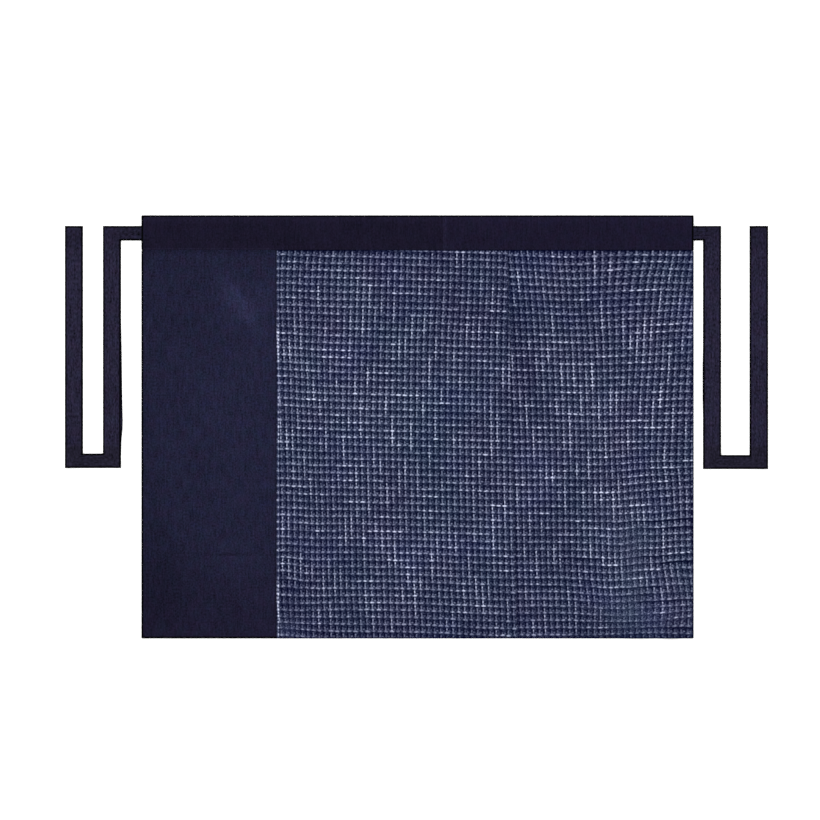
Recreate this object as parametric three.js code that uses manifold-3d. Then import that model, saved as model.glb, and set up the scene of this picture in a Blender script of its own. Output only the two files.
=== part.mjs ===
// A wrap skirt opened out flat: a folded waistband with a tie in each end, over one plain
// panel and two widths of check cloth sewn edge to edge.
// Millimetres. +X runs along the waistband, +Y from hem to waist, +Z up from the table.
import * as THREE from 'three';
import { mergeVertices } from 'three/addons/utils/BufferGeometryUtils.js';
import Module from 'manifold-3d';

// Outline of the opened skirt
const SKIRT_LEFT = -549;
const SKIRT_RIGHT = 553;
const WAIST_Y = 422;
const HEM_Y = -422;
const SEAM_GAP = 0.3;

// Waistband: one strip folded over the panels' top edges, joined end to end
const BAND_DEPTH = 68;
const BAND_WALL = 1.0;
const BAND_POCKET = 1.8;
const BAND_JOIN_X = 57;
const BAND_POCKET_END = 5;
const BAND_EDGE_EASE = 0.3;
const BAND_FOLD_STEPS = 6;
const BAND_FOOT_Y = WAIST_Y - BAND_DEPTH;
const BAND_HEIGHT = 2 * BAND_WALL + BAND_POCKET;

// Panels
const PANEL_WALL = 1.2;
const TUCK_IN_BAND = 15;
const PLAIN_EDGE_X = -279;
const HEM_DEPTH = 24;
const SIDE_HEM_WIDTH = 12;
const SEAM_ALLOWANCE = 12;
const TURNED_CLOTH = 0.8;
const ALLOWANCE_CLOTH = 0.6;
const STEP_RUN = 3;
const EDGE_EASE = 1.4;
const EDGE_THICKNESS = 0.55;
const RISE_RUN = 30;
const LAYER_LIFT = BAND_WALL + SEAM_GAP;
const ROW_SPACING = 28;
const COLUMN_SPACING = 16;

// The seam between the two check widths drifts to the right on its way to the hem
const CHECK_JOIN = [
  { y: 354, x: 182 },
  { y: 154, x: 187 },
  { y: -46, x: 190 },
  { y: -422, x: 201 },
];

// Soft ridges where the laid cloth does not lie quite flat. A ridge runs from one point to
// another, its middle bows sideways, and it fades out at both ends.
const RIDGES = [
  { fromX: -392, fromY: 300, toX: -312, toY: 176, bow: 6, width: 62, height: 2.6 },
  { fromX: -452, fromY: 120, toX: -428, toY: -330, bow: -14, width: 130, height: 2.2 },
  { fromX: -262, fromY: 250, toX: -236, toY: -180, bow: 16, width: 74, height: 1.8 },
  { fromX: -96, fromY: 330, toX: -20, toY: -470, bow: -24, width: 150, height: 2.6 },
  { fromX: 92, fromY: 240, toX: 118, toY: -240, bow: 12, width: 110, height: 1.8 },
  { fromX: 262, fromY: 346, toX: 330, toY: -40, bow: -18, width: 96, height: 3.0 },
  { fromX: 330, fromY: 60, toX: 452, toY: -520, bow: 22, width: 88, height: 4.0 },
  { fromX: 508, fromY: 330, toX: 470, toY: 0, bow: 14, width: 72, height: 3.0 },
  { fromX: 486, fromY: -110, toX: 530, toY: -520, bow: -18, width: 58, height: 4.2 },
];
const RIDGE_FADE = 0.28;

// Ties: a folded strip turned at square corners, each folded on its diagonal. The under layer
// peeks out along the side that faces the skirt, further where the left tie lies slack.
const TIE_WALL = 1.6;
const TIE_FOLDED_WALL = 2.5;
const TIE_ROOT_WALL = 1.2;
const TIE_ROOT_LENGTH = 18;
const TIE_RISE_RUN = 14;
const TIE_EDGE_EASE = 2.5;
const TIE_EDGE_THICKNESS = 0.6;
const TIE_CREASE_RUN = 0.8;
const TIE_TOP_Y = 402;
const TIE_ROOT_FOOT_Y = 374;
const TIE_FOLD_RUN = 20;
const UNDER_LAYER = 0.5;
const PEEK = 0.4;

const LEFT_TIE = { outer: -627, inner: -591, farOuter: -703, farInner: -667, barTop: -54, barFoot: -82 };
const RIGHT_TIE = { outer: 609, inner: 573, farOuter: 703, farInner: 667, barTop: -56, barFoot: -84 };
const LEFT_SLACK = { top: 214, middleTop: 150, middleFoot: 10, foot: -26, peek: 3.5 };
const RIGHT_SLACK = { top: 160, middleTop: 120, middleFoot: 60, foot: 20, peek: 0.8 };

const NAVY_BAND = { color: 0x1d1a2c, roughness: 0.85, metalness: 0 };
const NAVY_PANEL = { color: 0x222238, roughness: 0.85, metalness: 0 };
const NAVY_TIE = { color: 0x272539, roughness: 0.85, metalness: 0 };
const CHECK_CLOTH = { color: 0x3e445e, roughness: 0.9, metalness: 0 };

const wasm = await Module();
wasm.setup();

function smoothStep(t) {
  const s = THREE.MathUtils.clamp(t, 0, 1);
  return s * s * (3 - 2 * s);
}

function weld(geometry) {
  geometry.deleteAttribute('normal');
  geometry.deleteAttribute('uv');
  return mergeVertices(geometry, 1e-4);
}

function toManifold(geometry) {
  const welded = weld(geometry);
  return new wasm.Manifold(new wasm.Mesh({
    numProp: 3,
    vertProperties: new Float32Array(welded.attributes.position.array),
    triVerts: new Uint32Array(welded.index.array),
  }));
}

function fromManifold(solid) {
  const mesh = solid.getMesh();
  const geometry = new THREE.BufferGeometry();
  geometry.setAttribute('position', new THREE.BufferAttribute(mesh.vertProperties, 3));
  geometry.setIndex(new THREE.BufferAttribute(mesh.triVerts, 1));
  return geometry;
}

function piece(name, geometry, finish) {
  geometry.computeVertexNormals();
  const mesh = new THREE.Mesh(geometry, new THREE.MeshStandardMaterial(finish));
  mesh.name = name;
  return mesh;
}

// ---- Panels ------------------------------------------------------------------------------

function checkJoinX(y) {
  const i = Math.max(1, CHECK_JOIN.findIndex((row) => y >= row.y));
  const above = CHECK_JOIN[i - 1];
  const below = CHECK_JOIN[i];
  return THREE.MathUtils.mapLinear(y, above.y, below.y, above.x, below.x);
}

function ridgeHeight(ridge, x, y) {
  const run = new THREE.Vector2(ridge.toX - ridge.fromX, ridge.toY - ridge.fromY);
  const length = run.length();
  run.normalize();
  const spot = new THREE.Vector2(x - ridge.fromX, y - ridge.fromY);
  const along = spot.dot(run) / length;
  const bowed = ridge.bow * 4 * along * (1 - along);
  const across = (run.cross(spot) - bowed) / (ridge.width / 2);
  if (along <= 0 || along >= 1 || Math.abs(across) >= 1) return 0;
  const fade = smoothStep(along / RIDGE_FADE) * smoothStep((1 - along) / RIDGE_FADE);
  return ridge.height * fade * Math.cos(across * Math.PI / 2) ** 2;
}

// Height of a panel's underside over the table: up into the waistband, and over each ridge
function undersideHeight(x, y) {
  const intoBand = smoothStep((y - (BAND_FOOT_Y - RISE_RUN)) / (RISE_RUN - 1));
  const ridges = RIDGES.reduce((sum, ridge) => sum + ridgeHeight(ridge, x, y), 0);
  return LAYER_LIFT * intoBand + ridges * (1 - intoBand);
}

// How far a doubled strip beside an edge has begun, 1 on the strip and 0 past its step
function stripCover(distance, width) {
  return 1 - smoothStep((distance - (width - STEP_RUN)) / STEP_RUN);
}

function panelThickness(fromLeft, fromRight, y, panel) {
  const belowBand = 1 - smoothStep((y - (BAND_FOOT_Y - STEP_RUN - 1)) / STEP_RUN);
  const hem = TURNED_CLOTH * stripCover(y - HEM_Y, HEM_DEPTH);
  const left = panel.leftCloth * stripCover(fromLeft, panel.leftStrip);
  const right = panel.rightCloth * stripCover(fromRight, panel.rightStrip);
  const full = PANEL_WALL + Math.max(hem, left, right) * belowBand;
  const edge = Math.min(fromLeft, fromRight, y - HEM_Y) / EDGE_EASE;
  const eased = EDGE_THICKNESS + (1 - EDGE_THICKNESS) * Math.min(edge, 1);
  return y >= BAND_FOOT_Y - 1 ? full : full * eased;
}

function evenSteps(from, to, spacing) {
  const count = Math.round(Math.abs(to - from) / spacing);
  return Array.from({ length: count + 1 }, (_, i) => from + (to - from) * i / count);
}

function panelRows() {
  const hemTop = HEM_Y + HEM_DEPTH;
  const riseFoot = BAND_FOOT_Y - RISE_RUN;
  return [
    HEM_Y,
    HEM_Y + EDGE_EASE,
    hemTop - STEP_RUN,
    ...evenSteps(hemTop, riseFoot, ROW_SPACING),
    BAND_FOOT_Y - 0.7 * RISE_RUN,
    BAND_FOOT_Y - 0.4 * RISE_RUN,
    BAND_FOOT_Y - STEP_RUN - 1,
    BAND_FOOT_Y - 0.5,
    BAND_FOOT_Y + TUCK_IN_BAND,
  ];
}

// Distances across a panel from its left edge, closer together at its edges and strips
function panelColumns(panel, width) {
  const left = [0, EDGE_EASE, panel.leftStrip - STEP_RUN];
  const right = [panel.rightStrip - STEP_RUN, EDGE_EASE, 0].map((inset) => width - inset);
  return [...left, ...evenSteps(panel.leftStrip, width - panel.rightStrip, COLUMN_SPACING), ...right];
}

// A closed wall between an upper and a lower sheet of points over the same grid
function wallGeometry(rows, columnCount, pointAt) {
  const rowCount = rows.length;
  const positions = [];
  for (const side of ['under', 'over']) {
    for (let r = 0; r < rowCount; r += 1) {
      for (let c = 0; c < columnCount; c += 1) positions.push(...pointAt(rows[r], c, side));
    }
  }
  const under = (r, c) => r * columnCount + c;
  const over = (r, c) => rowCount * columnCount + under(r, c);
  const triangles = [];
  const quad = (a, b, c, d) => triangles.push(a, b, c, a, c, d);
  for (let r = 0; r < rowCount - 1; r += 1) {
    for (let c = 0; c < columnCount - 1; c += 1) {
      quad(over(r, c), over(r, c + 1), over(r + 1, c + 1), over(r + 1, c));
      quad(under(r, c), under(r + 1, c), under(r + 1, c + 1), under(r, c + 1));
    }
    const end = columnCount - 1;
    quad(under(r, end), under(r + 1, end), over(r + 1, end), over(r, end));
    quad(under(r + 1, 0), under(r, 0), over(r, 0), over(r + 1, 0));
  }
  for (let c = 0; c < columnCount - 1; c += 1) {
    const top = rowCount - 1;
    quad(under(0, c), under(0, c + 1), over(0, c + 1), over(0, c));
    quad(under(top, c + 1), under(top, c), over(top, c), over(top, c + 1));
  }
  const geometry = new THREE.BufferGeometry();
  geometry.setAttribute('position', new THREE.Float32BufferAttribute(positions, 3));
  geometry.setIndex(triangles);
  return geometry;
}

// Inside the waistband an outer edge steps in, to pass within the band's closed end
function bandInset(y) {
  return y >= BAND_FOOT_Y - 1 ? BAND_WALL + SEAM_GAP : 0;
}

function panelGeometry(panel) {
  const width = panel.rightEdge(HEM_Y) - panel.leftEdge(HEM_Y);
  const columns = panelColumns(panel, width);
  return wallGeometry(panelRows(), columns.length, (y, column, side) => {
    const share = columns[column] / width;
    const left = panel.leftEdge(y) + (panel.leftOpen ? bandInset(y) : SEAM_GAP / 2);
    const right = panel.rightEdge(y) - (panel.rightOpen ? bandInset(y) : SEAM_GAP / 2);
    const x = THREE.MathUtils.lerp(left, right, share);
    const low = undersideHeight(x, y);
    if (side === 'under') return [x, y, low];
    return [x, y, low + panelThickness(columns[column], width - columns[column], y, panel)];
  });
}

// Strip: the width along an edge where cloth is turned under. Cloth: how much thicker it is.
// The allowances of both seams are pressed under the left check width.
const PANELS = [
  {
    name: 'plain_panel',
    finish: NAVY_PANEL,
    leftEdge: () => SKIRT_LEFT,
    rightEdge: () => PLAIN_EDGE_X,
    leftOpen: true,
    leftStrip: SIDE_HEM_WIDTH,
    leftCloth: TURNED_CLOTH,
    rightStrip: SEAM_ALLOWANCE,
    rightCloth: 0,
  },
  {
    name: 'check_panel_left',
    finish: CHECK_CLOTH,
    leftEdge: () => PLAIN_EDGE_X,
    rightEdge: checkJoinX,
    leftStrip: SEAM_ALLOWANCE,
    leftCloth: ALLOWANCE_CLOTH,
    rightStrip: SEAM_ALLOWANCE,
    rightCloth: ALLOWANCE_CLOTH,
  },
  {
    name: 'check_panel_right',
    finish: CHECK_CLOTH,
    leftEdge: checkJoinX,
    rightEdge: () => SKIRT_RIGHT,
    rightOpen: true,
    leftStrip: SEAM_ALLOWANCE,
    leftCloth: 0,
    rightStrip: SIDE_HEM_WIDTH,
    rightCloth: TURNED_CLOTH,
  },
];

// ---- Waistband -----------------------------------------------------------------------------

function halfTurn(centreY, radius, fromBelow) {
  const middle = BAND_HEIGHT / 2;
  const turn = fromBelow ? 1 : -1;
  return Array.from({ length: BAND_FOLD_STEPS + 1 }, (_, i) => {
    const angle = turn * (-Math.PI / 2 + Math.PI * i / BAND_FOLD_STEPS);
    return [centreY + radius * Math.cos(angle), middle + radius * Math.sin(angle)];
  });
}

// Section across the band: the back layer, the fold along the waist, and the front layer
function bandSection() {
  const foot = BAND_FOOT_Y;
  const ease = BAND_EDGE_EASE;
  const outerRadius = BAND_HEIGHT / 2;
  const innerRadius = BAND_POCKET / 2;
  const points = [
    [foot + ease, 0],
    ...halfTurn(WAIST_Y - outerRadius, outerRadius, true),
    [foot + ease, BAND_HEIGHT],
    [foot, BAND_HEIGHT - ease],
    [foot, BAND_WALL + BAND_POCKET],
    ...halfTurn(WAIST_Y - BAND_POCKET_END, innerRadius, false),
    [foot, BAND_WALL],
    [foot, ease],
  ];
  return new THREE.Shape(points.map(([y, z]) => new THREE.Vector2(y, z)));
}

function boxGeometry(x0, x1, y0, y1, z0, z1) {
  const box = new THREE.BoxGeometry(x1 - x0, y1 - y0, z1 - z0);
  return box.translate((x0 + x1) / 2, (y0 + y1) / 2, (z0 + z1) / 2);
}

function bandLength(x0, x1) {
  const geometry = new THREE.ExtrudeGeometry(bandSection(), { depth: x1 - x0, bevelEnabled: false });
  const acrossToY = new THREE.Vector3(0, 1, 0);
  const upToZ = new THREE.Vector3(0, 0, 1);
  const depthToX = new THREE.Vector3(1, 0, 0);
  geometry.applyMatrix4(new THREE.Matrix4().makeBasis(acrossToY, upToZ, depthToX));
  return toManifold(geometry.translate(x0, 0, 0));
}

// The band's outer end is turned in and sewn shut, but for the slot that its tie comes out of
function bandGeometry(outerEnd, joinedEnd) {
  const inward = Math.sign(joinedEnd - outerEnd);
  const wallInside = outerEnd + inward * BAND_WALL;
  const [x0, x1] = [outerEnd, wallInside].sort((a, b) => a - b);
  const half = BAND_WALL / 2;
  const endWall = toManifold(boxGeometry(
    x0, x1,
    BAND_FOOT_Y + BAND_EDGE_EASE, WAIST_Y - BAND_POCKET_END,
    half, BAND_HEIGHT - half,
  ));
  const slot = toManifold(boxGeometry(
    x0 - half, x1 + half,
    TIE_ROOT_FOOT_Y - PEEK - SEAM_GAP, TIE_TOP_Y + SEAM_GAP,
    BAND_WALL, BAND_WALL + BAND_POCKET,
  ));
  const length = bandLength(Math.min(outerEnd, joinedEnd), Math.max(outerEnd, joinedEnd));
  return fromManifold(length.add(endWall).subtract(slot));
}

// ---- Ties ----------------------------------------------------------------------------------

// One crossing of the strip, from its edge that faces the skirt to its other edge
function crossing(near, far, options = {}) {
  return { near, far, lift: 0, wall: TIE_WALL, peek: PEEK, ...options };
}

// A corner's crease: folded double up to the diagonal, and single past it
function crease(near, far, headingX, headingY) {
  const past = ([x, y]) => [x + headingX * TIE_CREASE_RUN, y + headingY * TIE_CREASE_RUN];
  return [
    crossing(near, far, { wall: TIE_FOLDED_WALL }),
    crossing(past(near), past(far)),
  ];
}

function tieCrossings(tie, bandEnd, slack) {
  const out = Math.sign(tie.outer - bandEnd);
  const top = TIE_TOP_Y;
  const foot = TIE_ROOT_FOOT_Y;
  const root = (x, options) => crossing([x, foot], [x, top], options);
  const innerArm = (y, options) => crossing([tie.inner, y], [tie.outer, y], options);
  const inBand = { lift: LAYER_LIFT, wall: TIE_ROOT_WALL };
  const slackStretch = [
    innerArm(slack.top),
    innerArm(slack.middleTop, { peek: slack.peek }),
    innerArm(slack.middleFoot, { peek: slack.peek }),
    innerArm(slack.foot),
  ];
  return [
    root(bandEnd - out * TIE_ROOT_LENGTH, inBand),
    root(bandEnd + out * SEAM_GAP, inBand),
    root(bandEnd + out * TIE_RISE_RUN),
    ...crease([tie.inner, foot], [tie.outer, top], 0, -1),
    ...slackStretch,
    crossing([tie.inner, tie.barFoot + TIE_FOLD_RUN], [tie.outer, tie.barTop + TIE_FOLD_RUN]),
    ...crease([tie.inner, tie.barFoot], [tie.outer, tie.barTop], out, 0),
    crossing([tie.farInner - out, tie.barFoot], [tie.farInner - out, tie.barTop]),
    ...crease([tie.farOuter, tie.barFoot], [tie.farInner, tie.barTop], 0, 1),
    crossing([tie.farOuter, top], [tie.farInner, top]),
  ];
}

// Section across the strip as distances from its near edge and heights: thin pressed edges,
// and the under layer's own edge standing out on the near side
function tieSection({ wall, peek }, width) {
  return [
    [-peek, 0],
    [width, 0],
    [width, wall * TIE_EDGE_THICKNESS],
    [width - TIE_EDGE_EASE, wall],
    [TIE_EDGE_EASE, wall],
    [0, wall * TIE_EDGE_THICKNESS],
    [0, UNDER_LAYER],
    [-peek, UNDER_LAYER],
  ].map(([inset, height]) => new THREE.Vector2(inset, height));
}

function placeSection(row) {
  const near = new THREE.Vector2(...row.near);
  const across = new THREE.Vector2(...row.far).sub(near);
  const outline = tieSection(row, across.length());
  across.normalize();
  const points = outline.map(({ x: inset, y: height }) => {
    const spot = near.clone().addScaledVector(across, inset);
    return [spot.x, spot.y, row.lift + height];
  });
  return { outline, points };
}

function tieGeometry(tie, bandEnd, slack) {
  const sections = tieCrossings(tie, bandEnd, slack).map(placeSection);
  const size = sections[0].outline.length;
  const last = (sections.length - 1) * size;
  const mirrored = tie.outer > bandEnd;
  const triangles = [];
  const triangle = (a, b, c) => triangles.push(...(mirrored ? [a, c, b] : [a, b, c]));
  for (let start = 0; start < last; start += size) {
    for (let p = 0; p < size; p += 1) {
      const q = (p + 1) % size;
      triangle(start + p, start + size + p, start + size + q);
      triangle(start + p, start + size + q, start + q);
    }
  }
  for (const [a, b, c] of THREE.ShapeUtils.triangulateShape(sections[0].outline, [])) {
    triangle(a, b, c);
    triangle(last + a, last + c, last + b);
  }
  const positions = sections.flatMap(({ points }) => points.flat());
  const geometry = new THREE.BufferGeometry();
  geometry.setAttribute('position', new THREE.Float32BufferAttribute(positions, 3));
  geometry.setIndex(triangles);
  return geometry;
}

// ---- The skirt -----------------------------------------------------------------------------

const skirt = new THREE.Group();
for (const panel of PANELS) skirt.add(piece(panel.name, panelGeometry(panel), panel.finish));
const bandLeft = bandGeometry(SKIRT_LEFT, BAND_JOIN_X - SEAM_GAP / 2);
const bandRight = bandGeometry(SKIRT_RIGHT, BAND_JOIN_X + SEAM_GAP / 2);
skirt.add(piece('waistband_left', bandLeft, NAVY_BAND));
skirt.add(piece('waistband_right', bandRight, NAVY_BAND));
skirt.add(piece('tie_left', tieGeometry(LEFT_TIE, SKIRT_LEFT, LEFT_SLACK), NAVY_TIE));
skirt.add(piece('tie_right', tieGeometry(RIGHT_TIE, SKIRT_RIGHT, RIGHT_SLACK), NAVY_TIE));

export default skirt;
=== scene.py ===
import math

import bmesh
import bpy
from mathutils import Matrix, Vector, noise


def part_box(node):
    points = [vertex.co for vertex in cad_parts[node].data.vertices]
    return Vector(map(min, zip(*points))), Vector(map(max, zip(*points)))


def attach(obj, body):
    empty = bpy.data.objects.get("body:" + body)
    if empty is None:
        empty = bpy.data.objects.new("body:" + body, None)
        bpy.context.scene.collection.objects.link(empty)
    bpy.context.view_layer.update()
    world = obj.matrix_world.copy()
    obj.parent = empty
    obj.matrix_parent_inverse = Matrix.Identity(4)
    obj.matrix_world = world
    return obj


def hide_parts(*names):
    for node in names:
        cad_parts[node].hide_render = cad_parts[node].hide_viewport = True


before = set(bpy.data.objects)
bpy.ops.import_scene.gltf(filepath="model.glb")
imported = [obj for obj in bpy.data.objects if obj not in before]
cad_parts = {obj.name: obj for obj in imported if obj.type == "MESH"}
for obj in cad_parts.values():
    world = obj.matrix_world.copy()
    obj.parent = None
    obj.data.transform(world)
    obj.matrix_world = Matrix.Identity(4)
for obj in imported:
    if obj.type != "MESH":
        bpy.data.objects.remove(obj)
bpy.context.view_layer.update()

# A wrap skirt opened out flat on a pale floor: a folded waistband with a tie in each end,
# over a plain navy panel and two widths of slubbed check cloth. Metres, in the part's frame.
# Tables of places are in mm, with 0 at the middle of the part.

MM = 0.001

# ---- Sizes from the frame: the folded edges swell a little past the solids ----

EDGE_SWELL = 0.6 * MM
HALF_GAP = 0.15 * MM
band_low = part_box("waistband_left")[0]
band_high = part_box("waistband_right")[1]
plain_low, plain_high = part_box("plain_panel")
SKIRT_LEFT = band_low.x - EDGE_SWELL
SKIRT_RIGHT = band_high.x + EDGE_SWELL
BAND_FOOT = band_low.y
BAND_HEIGHT = band_high.z
BAND_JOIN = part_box("waistband_left")[1].x + HALF_GAP
WAIST = band_high.y + 2 * EDGE_SWELL
HEM = plain_low.y - 0.5 * EDGE_SWELL
PANEL_TOP = plain_high.y
PLAIN_EDGE = plain_high.x + HALF_GAP

# ---- Sizes of the cloth ----

CLOTH = 0.8 * MM
LAYER = 0.9 * MM
FOLD_RADIUS = LAYER / 2
FOLD_STEPS = 5
BEDDING = 0.12 * MM
DEEPEST_TROUGH = -0.1 * MM
HEM_DEPTH = 24 * MM
SIDE_HEM = 12 * MM
SEAM_LAP = 12 * MM
LAP_TURNING = 2 * MM
STRIP_STEP = 6 * MM
RISE_RUN = 30 * MM
PANEL_LIFT = 1.2 * MM
TOP_TUCK = 1.4 * MM
MESH_COLUMN = 4 * MM
MESH_ROW = 1.1 * MESH_COLUMN

# How far a panel's edge lies inside its border, by kind: a hem and a lap stay inside by their
# own fold, and a margin passes under its neighbour
EDGE_INSET = {"hem": FOLD_RADIUS, "lap": FOLD_RADIUS, "margin": -0.8 * SEAM_LAP}

# The seam between the two check widths, as (y, x): it drifts to the right towards the hem
CHECK_JOIN = ((354, 182), (154, 187), (-46, 190), (-422, 201))

# ---- Ridges and creases ----

# Soft ridges and fine creases: from x, y to x, y, then how far the middle bows sideways, the
# width and the height. A negative height is a trough. Both ends fade out.
RIDGE_FADE = 0.28
RIDGES = (
    (-392, 300, -312, 176, 6, 62, 2.6), (-452, 120, -428, -330, -14, 130, 2.2),
    (-262, 250, -236, -180, 16, 74, 1.8), (-96, 330, -20, -470, -24, 150, 2.6),
    (92, 240, 118, -240, 12, 110, 1.8), (262, 346, 330, -40, -18, 96, 3.0),
    (330, 60, 452, -520, 22, 88, 4.0), (508, 330, 470, 0, 14, 72, 3.0),
    (486, -110, 530, -520, -18, 58, 4.2),
)
CREASES = (
    (-440, -257, -338, -257, 8, 13, -0.7), (-436, -246, -344, -245, 9, 15, 0.5),
    (-524, -120, -512, -235, -8, 16, 0.5), (-505, 210, -440, 150, -6, 22, 0.5),
    (-420, 232, -365, 262, 5, 16, 0.4), (-330, 120, -300, 20, 6, 24, 0.5),
    (-470, -320, -380, -352, 6, 20, 0.5), (-232, 60, -222, -60, 5, 20, 0.6),
    (-250, -330, -190, -400, -8, 22, 0.9), (-120, 150, -90, 20, -6, 26, 0.5),
    (20, -180, 60, -300, 8, 24, 0.6), (226, 300, 236, 60, -5, 20, -0.8),
    (300, 300, 330, 180, 6, 22, 0.7), (380, 200, 470, 120, 10, 26, 0.9),
    (350, 20, 440, -60, 10, 24, 0.8), (392, -160, 540, -120, 10, 24, 1.0),
    (400, -250, 545, -205, 12, 22, 1.1), (420, -330, 548, -292, 12, 20, 1.0),
    (380, -300, 420, -420, -8, 22, 1.0), (455, -260, 470, -430, 6, 18, 1.0),
    (390, -70, 552, -44, 10, 16, 0.9), (430, -176, 552, -150, 6, 14, -0.9),
    (372, -328, 552, -318, -10, 16, -1.0), (486, -424, 500, -382, 0, 7, 0.9),
    (424, -180, 430, -350, 3, 16, -0.9),
)

# ---- The check's threads ----

# Where the threads of the check cloth have been pulled out of line: a soft pull round x, y
# that reaches so far each way and moves the threads by dx, dy.
LEFT_PULLS = (
    (-262, 290, 80, 110, -7, 1), (-279, -110, 60, 260, 9, 0), (-279, 100, 60, 160, 0, 3.5),
    (-279, -424, 36, 40, 9, 0), (-40, 290, 160, 90, 0, 1.8), (-197, -226, 40, 110, 0, -1.9),
    (-265, -290, 26, 34, 0, 4), (-13, -426, 120, 200, 0, 3), (-250, -356, 60, 30, 0, -3.5),
    (-265, -410, 50, 20, 0, 5), (-169, 118, 50, 60, -3, 0), (-117, 14, 56, 60, -2.4, 0),
    (-189, 284, 40, 60, -2.2, 0), (97, 284, 110, 80, 2.8, 0), (-221, -206, 36, 180, 3.2, 0),
    (163, -146, 60, 260, 2.8, 0), (-209, 154, 36, 30, -1.8, 0), (-213, 0, 30, 40, 1.6, 0),
    (-13, 230, 40, 50, 1, 0), (130, -370, 90, 40, 1.3, 0), (-190, -180, 50, 60, 1.2, 0),
    (-93, -60, 40, 200, -1, 0), (-133, -320, 30, 50, -1.4, 0), (-253, -370, 36, 50, 2, 0),
    (31, 184, 26, 50, 0, 1.6),
)
RIGHT_PULLS = (
    (450, 0, 70, 130, -8, 0), (530, -380, 56, 80, 11, 0), (310, 200, 70, 260, 0, -2.6),
    (560, 185, 90, 70, 0, 8), (560, -115, 80, 60, 0, 10.5), (555, -285, 70, 62, 0, 15),
    (440, -235, 26, 60, 4, 4), (390, -330, 60, 60, 0, -5), (470, -420, 90, 26, 0, 7),
    (520, -405, 30, 30, -6, 0), (191, -86, 60, 200, 2.6, 0), (257, 294, 50, 60, -2, 0),
    (383, 242, 76, 70, -5.6, 0), (497, 338, 40, 24, 2.6, 0), (511, 186, 30, 40, -2, 0),
    (311, -46, 60, 110, 2.2, 0), (495, -70, 40, 40, -4.2, 0), (443, -236, 36, 80, -2.6, 0),
    (297, 314, 60, 70, 0, -1.8), (477, 284, 60, 60, 0, 2.4), (367, -6, 44, 170, 0, -2.2),
    (457, 50, 60, 40, 0, -2.2), (463, -102, 40, 56, 0, 3.2), (547, -178, 50, 26, 0, 4),
    (411, -226, 44, 40, 0, -3), (257, -326, 70, 90, 0, 1.4), (307, -390, 90, 50, 0, 1.4),
    (562, -300, 56, 40, 0, -11), (556, -378, 60, 18, 0, 8), (390, 140, 40, 40, -1.5, 0),
    (350, -356, 36, 40, 4.5, 0), (477, -266, 40, 30, -2.6, 0), (467, -130, 30, 30, -1.4, 0),
    (227, 200, 40, 80, -0.8, 0), (287, -266, 44, 40, -1, 0), (467, 330, 30, 20, 1.4, 0),
    (307, 330, 30, 20, -1.4, 0), (477, -390, 30, 24, -3.6, 0), (427, -235, 26, 30, 0, -1.4),
    (491, -330, 36, 30, 0, -1.8), (430, 210, 40, 40, 0, 1), (187, -350, 26, 70, 0, 1.2),
)

# The two widths' weaves: cells of thread across and along, and how the threads lie. FAN is
# how the right width's columns spread under the waistband.
LEFT_WEAVE = {
    "across": 12.19, "along": 14.41, "tilt": -0.0255, "tilt_from": -45,
    "shift_x": 1.2, "shift_y": 7.2, "pulls": LEFT_PULLS, "fanned": False,
}
RIGHT_WEAVE = {
    "across": 12.10, "along": 14.34, "tilt": 0.0, "tilt_from": 0,
    "shift_x": -6.4, "shift_y": 0.0, "pulls": RIGHT_PULLS, "fanned": True,
}
WEAVE_DRIFT = {"centre": 40, "reach": 460, "bow": 11.6}
FAN = {"spread": 27, "shift": -5, "fade": 175, "x": 403, "width": 90}

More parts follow.
